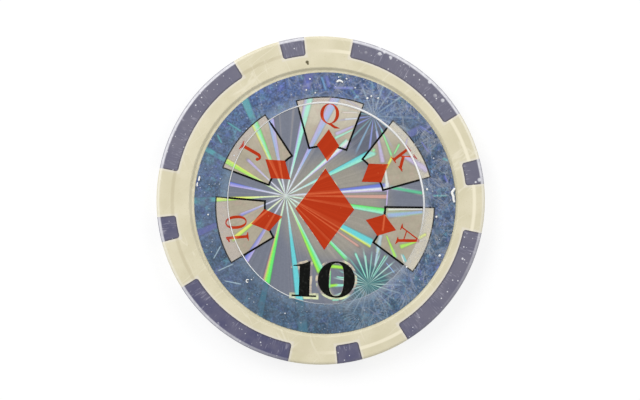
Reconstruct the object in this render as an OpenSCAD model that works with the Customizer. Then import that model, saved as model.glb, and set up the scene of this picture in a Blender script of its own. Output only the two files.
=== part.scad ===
// Round game chip: cream plastic moulded over a steel slug and a purple ring that carries the edge spots,
// with a foil label and a clear cover ring in a shallow recess on each face.
// Millimetres. The origin is the middle of the underside, +Z is up through the front face
// and +Y points to the top of the front label.

/* [Chip] */
// Outside diameter
chip_d = 40; // [38:0.1:44]
// Thickness from rim face to rim face
chip_t = 3.4; // [3:0.05:4.4]
// Radius of the rounded outer edges
edge_r = 0.4; // [0.1:0.05:0.7]

/* [Edge spots] */
// Number of pairs of one long and one short spot
spot_pairs = 4; // [2:1:5]
// Width of a long spot round the rim, in degrees
long_spot_width = 46.5; // [20:0.5:58]
// Width of a short spot round the rim, in degrees
short_spot_width = 8.9; // [5:0.1:12]
// Depth of a spot from the rim towards the middle
spot_depth = 2.3; // [1.6:0.1:2.8]
// Radius of the inner corners of a spot
spot_corner_r = 0.35; // [0.1:0.05:0.4]
// Turn of the first short spot from +X, in degrees
spot_turn = 10.3; // [0:0.1:90]
// Radial width of the hidden web between the slug and the spots
web_w = 2.7; // [1.5:0.1:4]
// Depth to which the hidden web runs into each spot
web_root = 0.6; // [0.2:0.1:1]

/* [Slug] */
// Plastic skin between the slug and the floor of a recess
skin_t = 0.5; // [0.3:0.05:0.7]
// Number of holes through the slug
slug_holes = 6; // [3:1:8]
// Diameter of a hole through the slug
slug_hole_d = 4; // [2:0.5:6]
// Wall of steel between a hole and the slug's outer edge
slug_hole_wall = 3; // [1:0.5:6]

/* [Label recess] */
// Width of the plain band between the spots and a recess that lies on the chip's axis
spot_margin = 1.25; // [0.5:0.05:3]
// Radial width of the soft wall that rises from the floor of a recess to the rim face
recess_sweep = 0.45; // [0.05:0.05:0.6]
// Distance by which the front recess lies off the chip's axis
recess_slip = 0.41; // [0:0.01:0.5]
// Direction in which the front recess lies off the axis, in degrees from +X
recess_slip_angle = -28; // [-180:1:180]
// Depth of the top of the cover ring below the rim face
cover_sink = 0.05; // [0.02:0.01:0.2]

/* [Label] */
// Thickness of the adhesive film
adhesive_t = 0.05; // [0.02:0.01:0.1]
// Distance by which the adhesive film stays inside the flat floor at the label's furthest place
adhesive_inset = 0.05; // [0.01:0.01:1]
// Thickness of the foil label
label_t = 0.1; // [0.05:0.01:0.15]
// Thickness of the clear cover ring
cover_t = 0.15; // [0.05:0.01:0.2]
// Radial width of the clear cover ring
cover_w = 3.9; // [2:0.1:6]
// Radial room between the underside of a centred label and the recess wall
label_room = 0.2; // [0.05:0.01:0.6]
// Share of that room by which the front label lies off centre
front_slip = 0.95; // [0:0.05:0.95]
// Direction in which the front label lies off centre, in degrees from +X
front_slip_angle = -37; // [-180:1:180]
// Share of that room by which the back label lies off centre
back_slip = 0.4; // [0:0.05:0.95]
// Direction in which the back label lies off centre, in degrees from +X
back_slip_angle = 70; // [-180:1:180]

/* [Hidden] */
$fn = 96;
cream = "#DED5B8";
purple = "#69657C";
steel = "#8C8F93";
glue = "#E9E4D2";
foil = "#6E83A0";
clear_film = [0.82, 0.87, 0.93, 0.45];

chip_r = chip_d / 2;
recess_depth = adhesive_t + label_t + cover_t + cover_sink;
slug_t = chip_t - 2 * (recess_depth + skin_t);
spot_inner_r = chip_r - spot_depth;
slug_r = spot_inner_r - web_w;
slug_hole_circle_r = slug_r - slug_hole_wall - slug_hole_d / 2;
web_r = spot_inner_r + web_root;
recess_edge_r = spot_inner_r - spot_margin;
recess_floor_r = recess_edge_r - recess_sweep;
front_recess_at = recess_slip * [cos(recess_slip_angle), sin(recess_slip_angle)];
label_r = recess_wall_r(adhesive_t) - label_room;
adhesive_r = recess_floor_r - label_room - adhesive_inset;
cover_hole_r = label_r - cover_w;
// Length by which cutting shapes run past the faces that they cut
past = 1;
// Straight steps round an inner corner of a spot
corner_steps = 5;
// Straight steps up the soft wall of a recess
wall_steps = 8;

// Height of the recess wall at a share of its width: an S that leaves the floor and meets the rim face smoothly
function recess_wall_z(share) = recess_depth * share * share * (3 - 2 * share);
// Radius of the recess wall at a height above the floor, from the same S
function recess_wall_r(height) =
    recess_floor_r + recess_sweep * (0.5 - sin(asin(1 - 2 * height / recess_depth) / 3));

// Half section of the chip with round outer corners
module chip_section() {
    square([chip_r - edge_r, chip_t]);
    translate([0, edge_r])
        square([chip_r, chip_t - 2 * edge_r]);
    for (z = [edge_r, chip_t - edge_r])
        translate([chip_r - edge_r, z])
            circle(edge_r);
}

module chip_blank() {
    rotate_extrude()
        chip_section();
}

// Plan of a spot centred on +X: straight radial sides that run past the rim, an inner edge that follows
// the rim, and inner corners rounded in short straight steps
module spot_plan(width) {
    half = width / 2;
    reach = (chip_r + past) / cos(half);
    corner_centre_r = spot_inner_r + spot_corner_r;
    corner_angle = half - asin(spot_corner_r / corner_centre_r);
    corner_centre = corner_centre_r * [cos(corner_angle), sin(corner_angle)];
    corner_turn = corner_angle + 90 - half;
    corner = [
        for (i = [0 : corner_steps])
            let (a = half + 90 + corner_turn * i / corner_steps)
                corner_centre + spot_corner_r * [cos(a), sin(a)]
    ];
    side = concat([reach * [cos(half), sin(half)]], corner);
    other_side = [for (i = [len(side) - 1 : -1 : 0]) [side[i].x, -side[i].y]];
    difference() {
        polygon(concat(side, [[0, 0]], other_side));
        circle(spot_inner_r);
    }
}

// One spot, longer than the chip is thick and reaching past its rim
module spot_blank(turn, width) {
    rotate(turn)
        translate([0, 0, -past])
            linear_extrude(chip_t + 2 * past)
                spot_plan(width);
}

module spot_blanks() {
    pitch = 360 / spot_pairs;
    for (pair = [0 : spot_pairs - 1]) {
        spot_blank(spot_turn + pair * pitch, short_spot_width);
        spot_blank(spot_turn + (pair + 0.5) * pitch, long_spot_width);
    }
}

// The hidden ring round the slug that joins the spots
module web() {
    translate([0, 0, (chip_t - slug_t) / 2])
        difference() {
            cylinder(h = slug_t, r = web_r);
            translate([0, 0, -past])
                cylinder(h = slug_t + 2 * past, r = slug_r);
        }
}

// Space of a label recess, from its floor at height zero upwards
module recess() {
    wall = [
        for (i = [0 : wall_steps])
            let (share = i / wall_steps)
                [recess_floor_r + recess_sweep * share, recess_wall_z(share)]
    ];
    top = recess_depth + past;
    rotate_extrude()
        polygon(concat([[0, 0]], wall, [[recess_edge_r, top], [0, top]]));
}

// Places a layer of the front label stack, counted up from the recess floor
module on_front(height) {
    at = front_recess_at + front_slip * label_room * [cos(front_slip_angle), sin(front_slip_angle)];
    translate([at.x, at.y, chip_t - recess_depth + height])
        children();
}

// Places a layer of the back label stack, turned over about the Y axis
module on_back(height) {
    at = back_slip * label_room * [cos(back_slip_angle), sin(back_slip_angle)];
    translate([at.x, at.y, recess_depth - height])
        rotate([0, 180, 0])
            children();
}

module adhesive_film() {
    color(glue)
        cylinder(h = adhesive_t, r = adhesive_r);
}

module foil_label() {
    color(foil)
        cylinder(h = label_t, r = label_r);
}

module cover_ring() {
    color(clear_film)
        difference() {
            cylinder(h = cover_t, r = label_r);
            translate([0, 0, -past])
                cylinder(h = cover_t + 2 * past, r = cover_hole_r);
        }
}

module steel_slug() {
    color(steel)
        translate([0, 0, (chip_t - slug_t) / 2])
            difference() {
                cylinder(h = slug_t, r = slug_r);
                for (hole = [0 : slug_holes - 1])
                    rotate(hole * 360 / slug_holes)
                        translate([slug_hole_circle_r, 0, -past])
                            cylinder(h = slug_t + 2 * past, d = slug_hole_d);
            }
}

module spot_ring() {
    color(purple)
        union() {
            intersection() {
                chip_blank();
                spot_blanks();
            }
            web();
        }
}

// The cream plastic fills everything that the slug and the spot ring leave free
module body() {
    color(cream)
        difference() {
            chip_blank();
            translate([front_recess_at.x, front_recess_at.y, chip_t - recess_depth])
                recess();
            translate([0, 0, recess_depth])
                rotate([0, 180, 0])
                    recess();
            spot_blanks();
            web();
            steel_slug();
        }
}

module front_adhesive() { on_front(0) adhesive_film(); }
module front_label() { on_front(adhesive_t) foil_label(); }
module front_cover_ring() { on_front(adhesive_t + label_t) cover_ring(); }
module back_adhesive() { on_back(0) adhesive_film(); }
module back_label() { on_back(adhesive_t) foil_label(); }
module back_cover_ring() { on_back(adhesive_t + label_t) cover_ring(); }

body();
spot_ring();
steel_slug();
front_adhesive();
front_label();
front_cover_ring();
back_adhesive();
back_label();
back_cover_ring();
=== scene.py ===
"""Looks of a round game chip: worn two-colour plastic, and on each face a foil label with a starburst
pattern, printed cards and a number, under a clear cover ring."""

import math

import bpy
from mathutils import Matrix, Vector, noise
from mathutils.geometry import delaunay_2d_cdt


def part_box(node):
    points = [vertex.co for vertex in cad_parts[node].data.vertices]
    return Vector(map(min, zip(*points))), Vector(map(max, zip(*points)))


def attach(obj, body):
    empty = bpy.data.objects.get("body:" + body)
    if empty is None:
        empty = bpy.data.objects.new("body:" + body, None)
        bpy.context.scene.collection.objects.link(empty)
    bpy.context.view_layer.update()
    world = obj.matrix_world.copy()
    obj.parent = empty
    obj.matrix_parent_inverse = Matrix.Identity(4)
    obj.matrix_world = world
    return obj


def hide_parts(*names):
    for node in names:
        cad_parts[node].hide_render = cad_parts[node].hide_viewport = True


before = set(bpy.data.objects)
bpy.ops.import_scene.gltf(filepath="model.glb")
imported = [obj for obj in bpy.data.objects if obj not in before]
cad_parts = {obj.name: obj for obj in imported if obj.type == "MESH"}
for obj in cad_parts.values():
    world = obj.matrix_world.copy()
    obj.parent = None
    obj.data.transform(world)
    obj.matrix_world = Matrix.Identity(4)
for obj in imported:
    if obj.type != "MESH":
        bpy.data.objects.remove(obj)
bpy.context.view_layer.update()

# Sizes from the frame, in metres
MM = 0.001
BODY = "root"
chip_low, chip_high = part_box("body")
CHIP_R = (chip_high.x - chip_low.x) / 2
CHIP_T = chip_high.z - chip_low.z
label_low, label_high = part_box("front_label")
LABEL_R = (label_high.x - label_low.x) / 2
LABEL_T = label_high.z - label_low.z
cover_low, cover_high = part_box("front_cover_ring")
COVER_T = cover_high.z - cover_low.z

# Heights above the underside of a label, in metres: the foil's own top, then the print on it
FOIL_TOP = LABEL_T - 0.03 * MM
PRINT_STEP = 0.007 * MM

# Vertices this close to a face count as lying on it, in metres
ON_FACE = 0.01 * MM
# Widest step between the vertices of one spot, in degrees
SPOT_STEP = 8

# Turn of the print, and the place of its origin from the middle of the label in millimetres
LABEL_TURN = math.radians(-2.4)
PRINT_SLIP = (-0.05, 0.07)
# Print on a label, in millimetres from the print's origin with +Y to the label's top
PRINT_CENTRE = (0.08, -0.47)
CARD_RADII = (7.33, 13.3)
CARD_HALF_WIDTH = 18.0
CARD_LINE = 0.24
CARD_LINE_COVERED = 0.16
RANK_BASE_R = 10.0
RANK_HEIGHT = 2.45
PIP_HALF = (1.38, 1.96)
DIAMOND_CENTRE = (0.07, -0.82)
DIAMOND_HALF = (3.59, 4.96)
DIAMOND_TURN = 1.5
DIAMOND_BORDER = (0.1, 0.13)
NUMBER_Y = -9.35
ONE_X = -2.04
ZERO_X = 1.83
HALO = 0.28
CLEAR_CENTRE = (0.14, -0.13)
CLEAR_HALF = (11.82, 12.22)
CLEAR_TURN = math.radians(20.8)

# Cards from left to right: rank, direction of the card's middle in degrees, the rank's shift to its right
# and outwards, the rank's turn in degrees, and the pip's shift
CARDS = (
    ("10", 195.4, (-0.03, -0.15), -8.0, (0.05, -0.04)),
    ("J", 143.6, (-0.56, 0.06), 9.0, (-0.01, -0.1)),
    ("Q", 89.6, (0.02, 0.06), 0.0, (0.0, 0.1)),
    ("K", 36.0, (0.38, 0.04), 4.0, (-0.02, 0.0)),
    ("A", -16.3, (0.26, -0.45), 0.0, (-0.14, 0.06)),
)

# Burst centres of the foil, in the same coordinates
MAIN_BURST = (-4.76, 0.61)
LOW_BURST = (5.77, -9.66)
HIGH_BURST = (5.53, 10.75)
RIM_BURSTS = ((10.3, 10.2), (10.8, -9.5), (5.5, -12.95), (6.65, 12.9))
# Middle of the warm part of the foil
WARM_CENTRE = (1.2, -0.6)
# Where the main burst ends and its neighbours to the right begin: x at y = 0, and the border's two slopes
MAIN_END_X = 7.5
MAIN_END_SLOPES = (0.08, 0.33)


def spot_plan():
    """The purple spots on the front face, from the CAD ring: their inner radius in millimetres, the pitch of
    the pattern in degrees, and the middle and half width of its long and its short spot in degrees."""
    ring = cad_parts["spot_ring"]
    places = [ring.matrix_world @ vertex.co for vertex in ring.data.vertices]
    top = [p for p in places if p.z > chip_high.z - ON_FACE]
    angles = sorted(math.degrees(math.atan2(p.y, p.x)) for p in top)
    breaks = [i for i in range(1, len(angles)) if angles[i] - angles[i - 1] > SPOT_STEP]
    runs = [angles[a:b] for a, b in zip(breaks, breaks[1:])]
    spots = [((run[0] + run[-1]) / 2, (run[-1] - run[0]) / 2) for run in runs]
    widest = max(spots, key=lambda spot: spot[1])
    narrowest = min(spots, key=lambda spot: spot[1])
    inner = min(p.to_2d().length for p in top) / MM
    pairs = round(360 / (2 * abs(spots[1][0] - spots[0][0])))
    return inner, 360 / pairs, (widest, narrowest)


SPOT_INNER_R, SPOT_PITCH, SPOTS = spot_plan()


def recess_plan():
    """Centre of the front recess and the radii of its floor and edge, in millimetres, from the CAD body."""
    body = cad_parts["body"]
    floor_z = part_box("front_adhesive")[0].z
    places = [body.matrix_world @ vertex.co for vertex in body.data.vertices]
    floor = [p.to_2d() / MM for p in places if abs(p.z - floor_z) < ON_FACE]
    centre = sum(floor, Vector((0.0, 0.0))) / len(floor)
    face = [p.to_2d() / MM for p in places if p.z > chip_high.z - ON_FACE]
    edge = min((p - centre).length for p in face)
    return tuple(centre), max((p - centre).length for p in floor), edge


RECESS_CENTRE, RECESS_FLOOR_R, RECESS_EDGE_R = recess_plan()


def srgb(red, green, blue):
    """A colour given as it looks on a screen, 0 to 255, as the linear colour that a shader takes."""
    def linear(value):
        value /= 255
        return value / 12.92 if value <= 0.04045 else ((value + 0.055) / 1.055) ** 2.4
    return (linear(red), linear(green), linear(blue), 1.0)


WHITE = srgb(246, 252, 248)
MINT = srgb(170, 250, 222)
SPRING = srgb(146, 250, 164)
GREEN = srgb(112, 250, 122)
LIME = srgb(182, 255, 84)
YELLOW = srgb(240, 252, 112)
CYAN = srgb(112, 222, 228)
SKY = srgb(160, 194, 242)
BLUE = srgb(118, 134, 226)
LAVENDER = srgb(196, 186, 240)
SALMON = srgb(220, 172, 158)
SEA = srgb(104, 204, 158)
LILAC = srgb(208, 194, 238)
ICE = srgb(192, 220, 232)
TEAL = srgb(92, 170, 180)
RIM_BLUE = srgb(104, 156, 206)
RIM_VIOLET = srgb(98, 112, 196)
RIM_DUSK = srgb(96, 104, 168)
RIM_SEA = srgb(64, 116, 140)
PALE = srgb(170, 196, 212)

# Reach of a ray that runs past the label's edge, in millimetres
FAR = 20.0
# Rays of the main burst: direction in degrees, half width in degrees, reach in millimetres, and the colours
# across the ray, from its clockwise side
MAIN_RAYS = (
    (170.4, 2.9, 7.4, (BLUE, LAVENDER)),
    (151.9, 3.0, FAR, (YELLOW, LIME, LIME)),
    (138.9, 2.2, 6.6, (LAVENDER,)),
    (115.6, 3.5, FAR, (GREEN, MINT, YELLOW)),
    (103.4, 3.0, FAR, (LAVENDER, SKY)),
    (79.0, 3.1, FAR, (MINT, MINT, LAVENDER)),
    (65.4, 3.0, FAR, (SKY, LAVENDER)),
    (43.4, 3.1, 11.0, (LAVENDER, WHITE, MINT)),
    (28.9, 2.9, 12.3, (MINT, CYAN)),
    (7.3, 3.2, FAR, (LILAC, WHITE, BLUE, BLUE)),
    (1.9, 1.5, FAR, (SALMON,)),
    (-6.6, 2.4, FAR, (MINT, GREEN)),
    (-26.6, 3.5, FAR, (YELLOW, CYAN, CYAN, CYAN)),
    (-32.3, 1.1, 11.0, (SALMON,)),
    (-43.6, 1.8, FAR, (GREEN, MINT)),
    (-62.6, 3.6, 10.4, (LIME, GREEN, MINT)),
    (-80.1, 2.8, FAR, (CYAN,)),
    (-100.4, 3.3, FAR, (SALMON, LIME, GREEN, GREEN)),
    (-119.1, 2.9, FAR, (BLUE, LAVENDER)),
    (-138.1, 2.6, 8.6, (YELLOW, YELLOW, LIME)),
    (-154.6, 2.6, 6.2, (LAVENDER, BLUE)),
    (-174.6, 2.5, FAR, (YELLOW, YELLOW, LIME)),
)
# The same rays where they go on under the clear ring
RIM_RAYS = (
    (151.9, 2.3, FAR, (TEAL,)),
    (115.6, 3.0, FAR, (TEAL,)),
    (81.5, 3.0, FAR, (RIM_DUSK,)),
    (28.9, 2.0, FAR, (RIM_DUSK,)),
    (-80.1, 3.0, FAR, (RIM_SEA,)),
    (-100.1, 2.4, FAR, (RIM_SEA,)),
    (-154.6, 3.0, FAR, (RIM_DUSK,)),
    (-174.6, 2.5, FAR, (TEAL,)),
)
# Close to the burst's centre the rays wider than a least half width spread to this one, in degrees
NEAR_LEAST = 1.6
NEAR_HALF = 5.5
# Share of a ray's half width over which it keeps its full strength
RAY_CORE = 0.55
# The rays are drawn a quarter turn at a time, in degrees
QUARTER = 90.0

# Single streaks of the neighbouring bursts: tip, end, half width at each, and colour
STREAKS = (
    ((12.2, -0.62), (7.5, -1.3), (0.26, 0.5), SKY),
    ((12.2, -0.3), (7.5, -0.55), (0.14, 0.2), WHITE),
    ((7.7, 2.2), (12.1, 1.6), (0.3, 0.36), SEA),
    ((11.8, -4.15), (9.2, -5.1), (0.08, 0.5), LIME),
    ((7.6, -3.5), (9.0, -6.5), (0.12, 0.34), LIME),
    ((9.5, -5.75), (10.1, -7.1), (0.12, 0.14), WHITE),
    ((9.7, -5.75), (10.3, -7.0), (0.12, 0.2), CYAN),
    ((7.65, 3.0), (7.55, -0.3), (0.14, 0.14), LILAC),
    ((7.45, -0.4), (7.2, -3.4), (0.18, 0.2), WHITE),
    ((7.05, -3.4), (6.4, -7.7), (0.42, 0.16), ICE),
    ((11.4, -4.0), (12.7, -3.2), (0.32, 0.3), YELLOW),
    ((5.9, 9.2), (6.95, 4.9), (0.2, 0.5), LILAC),
    ((7.2, 4.5), (7.6, 1.9), (0.2, 0.36), WHITE),
    ((6.4, 9.5), (8.0, 5.8), (0.16, 0.26), SPRING),
    ((8.9, 7.7), (8.1, 6.0), (0.24, 0.16), SPRING),
    ((8.1, 6.1), (7.2, 4.2), (0.3, 0.2), YELLOW),
    ((9.2, 6.2), (12.6, 4.3), (0.4, 0.7), LILAC),
    ((9.8, 8.4), (9.5, 7.1), (0.14, 0.18), LILAC),
    ((1.8, 10.2), (3.8, 10.4), (0.18, 0.16), WHITE),
    ((3.3, 9.5), (0.8, 8.25), (0.18, 0.4), LILAC),
    ((3.3, 9.1), (0.7, 7.75), (0.1, 0.3), MINT),
    ((3.1, -7.85), (0.7, -7.7), (0.32, 0.36), LIME),
    ((3.1, -9.1), (1.6, -8.95), (0.16, 0.1), MINT),
    ((3.2, -9.95), (1.5, -10.0), (0.2, 0.26), MINT),
    ((2.2, -9.95), (0.6, -10.2), (0.24, 0.36), LIME),
    ((1.1, -8.0), (1.02, -10.6), (0.06, 0.16), SPRING),
    ((1.2, -11.85), (2.5, -11.75), (0.2, 0.12), MINT),
    ((5.95, 6.95), (5.5, 6.25), (0.3, 0.2), SPRING),
    ((5.5, -9.1), (3.9, -5.8), (0.05, 0.26), MINT),
    ((5.72, -9.2), (5.2, -6.0), (0.04, 0.14), MINT),
    ((6.1, -9.0), (7.74, -6.0), (0.05, 0.14), MINT),
    ((7.65, -6.85), (9.0, -8.35), (0.08, 0.14), SKY),
    ((3.85, 11.07), (1.45, 11.03), (0.14, 0.1), srgb(238, 226, 222)),
)
RIM_STREAKS = (
    ((-12.4, 9.35), (-10.3, 8.1), (0.14, 0.24), TEAL),
    ((-13.5, 7.9), (-12.7, 6.5), (0.18, 0.18), TEAL),
    ((-13.3, -7.6), (-12.3, -5.6), (0.12, 0.12), PALE),
    ((-12.8, -8.95), (-10.6, -7.85), (0.12, 0.12), PALE),
    ((-12.0, -10.0), (-9.5, -10.4), (0.1, 0.14), PALE),
    ((13.0, 8.7), (11.0, 9.9), (0.1, 0.16), RIM_VIOLET),
    ((11.3, 8.1), (12.5, 6.5), (0.12, 0.22), RIM_VIOLET),
    ((12.7, 4.7), (13.1, 3.9), (0.18, 0.18), RIM_BLUE),
    ((-1.1, 15.5), (-0.3, 13.4), (0.22, 0.24), RIM_BLUE),
    ((-0.5, 15.6), (0.1, 13.8), (0.4, 0.36), RIM_VIOLET),
    ((0.3, 14.0), (3.2, 14.07), (0.3, 0.3), srgb(126, 138, 210)),
    ((-2.8, 14.9), (-2.4, 13.5), (0.3, 0.24), RIM_VIOLET),
    ((2.8, 12.75), (3.9, 13.2), (0.24, 0.3), RIM_BLUE),
    ((14.3, 4.1), (15.0, 2.8), (0.26, 0.24), RIM_VIOLET),
    ((13.9, 6.05), (15.0, 5.65), (0.24, 0.32), TEAL),
    ((12.9, 1.37), (15.1, 1.45), (0.2, 0.2), TEAL),
)


class Graph:
    """A node tree written as short calls: each adds a node or more and gives an output."""

    def __init__(self, tree):
        self.tree = tree

    def feed(self, socket, value):
        if isinstance(value, bpy.types.NodeSocket):
            self.tree.links.new(value, socket)
        else:
            socket.default_value = value

    def add(self, kind, *values, **settings):
        """A node with its settings, and values for its inputs in their order."""
        node = self.tree.nodes.new(kind)
        for name, value in settings.items():
            setattr(node, name, value)
        for socket, value in zip(node.inputs, values):
            self.feed(socket, value)
        return node

    def fill(self, node, **inputs):
        """The outputs of a node whose inputs are given by name."""
        for name, value in inputs.items():
            self.feed(node.inputs[name], value)
        return node.outputs

    def surface(self, **inputs):
        """The finished material, from its shader's inputs with an underscore for each space in a name."""
        for name, value in inputs.items():
            self.feed(self.shader[name.replace("_", " ")], value)
        return self.material

    def math(self, operation, *values, clamp=False):
        return self.add("ShaderNodeMath", *values, operation=operation, use_clamp=clamp).outputs[0]

    def times(self, first, *others, clamp=False):
        for other in others:
            first = self.math("MULTIPLY", first, other, clamp=clamp)
        return first

    def most(self, first, *others):
        for other in others:
            first = self.math("MAXIMUM", first, other)
        return first

    def minus(self, first, second):
        return self.math("SUBTRACT", first, second)

    def plus(self, value, factor, other, clamp=False):
        """A value times a factor, plus another value."""
        return self.math("MULTIPLY_ADD", value, factor, other, clamp=clamp)

    def size(self, value):
        return self.math("ABSOLUTE", value)

    def vector(self, operation, *values, output=0):
        return self.add("ShaderNodeVectorMath", *values, operation=operation).outputs[output]

    def away(self, place, centre):
        """From a flat centre to a place."""
        return self.vector("SUBTRACT", place, (*centre, 0.0))

    def dot(self, first, second):
        return self.vector("DOT_PRODUCT", first, (*second, 0.0), output=1)

    def length(self, vector):
        return self.vector("LENGTH", vector, output=1)

    def scaled(self, vector, factor):
        return self.fill(self.add("ShaderNodeVectorMath", vector, operation="SCALE"), Scale=factor)[0]

    def split(self, vector):
        return self.add("ShaderNodeSeparateXYZ", vector).outputs

    def join(self, x, y, z=0.0):
        return self.add("ShaderNodeCombineXYZ", x, y, z).outputs[0]

    def mix(self, factor, first, second, blend="MIX"):
        """A colour between two colours."""
        node = self.add("ShaderNodeMix", factor, data_type="RGBA", blend_type=blend)
        self.feed(node.inputs[6], first)
        self.feed(node.inputs[7], second)
        return node.outputs[2]

    def tint(self, colour, mask, amount, other):
        """A colour with another one over it, as strong as a mask times an amount."""
        return self.mix(self.times(mask, amount), colour, other)

    def shade(self, colour, amount, low, high):
        """A colour made darker or lighter by an amount from 0 to 1."""
        grey = self.blend(amount, low, high)
        return self.mix(1.0, colour, self.join(grey, grey, grey), "MULTIPLY")

    def blend(self, factor, first, second):
        """A number between two numbers."""
        node = self.add("ShaderNodeMix", factor, data_type="FLOAT")
        self.feed(node.inputs[2], first)
        self.feed(node.inputs[3], second)
        return node.outputs[0]

    def step(self, value, low, high):
        """0 up to low, 1 from high on, and smooth between them."""
        return self.add("ShaderNodeMapRange", value, low, high, interpolation_type="SMOOTHSTEP").outputs[0]

    def noise(self, vector, scale, detail=2.0, roughness=0.5, distortion=0.0):
        node = self.add("ShaderNodeTexNoise")
        return self.fill(
            node, Vector=vector, Scale=scale, Detail=detail, Roughness=roughness, Distortion=distortion)[0]

    def patches(self, vector, scale, low, high, **settings):
        """Patches of noise: 0 below low and 1 above high."""
        return self.step(self.noise(vector, scale, **settings), low, high)

    def cells(self, vector, scale, feature="F1"):
        """The outputs of a pattern of cells."""
        return self.fill(self.add("ShaderNodeTexVoronoi", feature=feature), Vector=vector, Scale=scale)

    def ramp(self, factor, stops, interpolation="LINEAR"):
        """Colour and alpha along stops of (place, colour, alpha)."""
        node = self.add("ShaderNodeValToRGB", factor)
        node.color_ramp.interpolation = interpolation
        elements = node.color_ramp.elements
        while len(elements) < len(stops):
            elements.new(1.0)
        for element, (place, colour, alpha) in zip(elements, stops):
            element.position = place
            element.color = (*colour[:3], alpha)
        return node.outputs

    def bump(self, height, strength, distance):
        return self.fill(self.add("ShaderNodeBump"), Height=height, Strength=strength, Distance=distance)[0]


def polar(g, place, centre):
    """Distance of a place from a centre, its angle in degrees and its direction."""
    x, y, _ = g.split(g.away(place, centre))
    flat = g.join(x, y)
    angle = g.math("DEGREES", g.math("ARCTAN2", y, x))
    return g.length(flat), angle, g.vector("NORMALIZE", flat)


def ray_stops(rays, start):
    """Ramp stops for the rays in the quarter turn that begins at start, in degrees: their colours, and
    their reach as an alpha that holds until the next ray."""
    stops, reaches = [(start, TEAL, 0.0)], []
    for middle, half, reach, colours in sorted(rays):
        if not start < middle < start + QUARTER:
            continue
        across = colours if len(colours) > 1 else colours * 2
        spread = half * RAY_CORE
        stops.append((middle - half, across[0], 0.0))
        for i, colour in enumerate(across):
            place = middle - spread + 2 * spread * i / (len(across) - 1)
            stops.append((place, colour, 1.0))
        stops.append((middle + half, across[-1], 0.0))
        reaches.append((middle - half, WHITE, reach / FAR))
    shares = []
    for group in (stops, reaches):
        shares.append([((angle - start) / QUARTER, colour, alpha) for angle, colour, alpha in group])
    return shares


def fan(g, distance, angle, rays):
    """Colour and strength of rays of the main burst at a distance and an angle in degrees."""
    colour, strength = (0.0, 0.0, 0.0, 1.0), 0.0
    for start in (-2 * QUARTER, -QUARTER, 0.0, QUARTER):
        factor = g.math("DIVIDE", g.minus(angle, start), QUARTER)
        stops, reaches = ray_stops(rays, start)
        ray, alpha = g.ramp(factor, stops)
        reach = g.times(g.ramp(factor, reaches, "CONSTANT")[1], FAR)
        over = g.minus(distance, reach)
        alpha = g.times(alpha, g.step(over, 0.25, -0.5))
        colour = g.mix(alpha, colour, ray)
        strength = g.most(strength, alpha)
    return colour, strength


def comb(g, place, centre, count, half_width, seed):
    """Fine rays from a centre: their strength, the distance from it, and a random number for each ray."""
    distance, angle, _ = polar(g, place, centre)
    turn = g.math("DIVIDE", angle, 360 / count)
    nearest = g.math("ROUND", turn)
    node = g.add("ShaderNodeTexWhiteNoise", noise_dimensions="1D")
    chance = g.fill(node, W=g.math("ADD", nearest, seed))[0]
    off = g.times(g.size(g.minus(turn, nearest)), math.tau / count)
    off = g.times(off, distance)
    half = g.plus(distance, 0.16 * half_width, 0.5 * half_width)
    half = g.math("MINIMUM", half, g.times(distance, 0.55 * math.pi / count))
    line = g.step(g.math("DIVIDE", off, half), 1.0, 0.2)
    return g.times(line, g.blend(chance, 0.4, 1.0)), distance, chance


def zone(g, place, distance, reach):
    """1 near a burst and 0 past its reach, with an uneven edge."""
    ragged = g.plus(g.noise(place, 0.6), 0.4 * reach, -0.2 * reach)
    return g.step(g.math("ADD", distance, ragged), reach, 0.7 * reach)


# Length over which a streak fades at its ends, in millimetres
STREAK_FADE = 0.4


def streak(g, place, tip, end, halves):
    """Strength of a straight streak whose width changes from its tip to its end."""
    along = Vector(end) - Vector(tip)
    length = along.length
    along.normalize()
    away = g.away(place, tip)
    reach = g.dot(away, (along.x, along.y))
    across = g.size(g.dot(away, (-along.y, along.x)))
    half = g.plus(reach, (halves[1] - halves[0]) / length, halves[0])
    inside = g.step(g.math("DIVIDE", across, half), 1.15, 0.15)
    ends = g.times(g.step(reach, 0.0, STREAK_FADE), g.step(reach, length, length - STREAK_FADE))
    return g.times(inside, ends)


def add_streaks(g, place, streaks, colour, strength):
    """Colour and strength with single streaks over them."""
    for tip, end, halves, tint in streaks:
        mask = streak(g, place, tip, end, halves)
        colour = g.mix(mask, colour, tint)
        strength = g.most(strength, mask)
    return colour, strength


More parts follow.
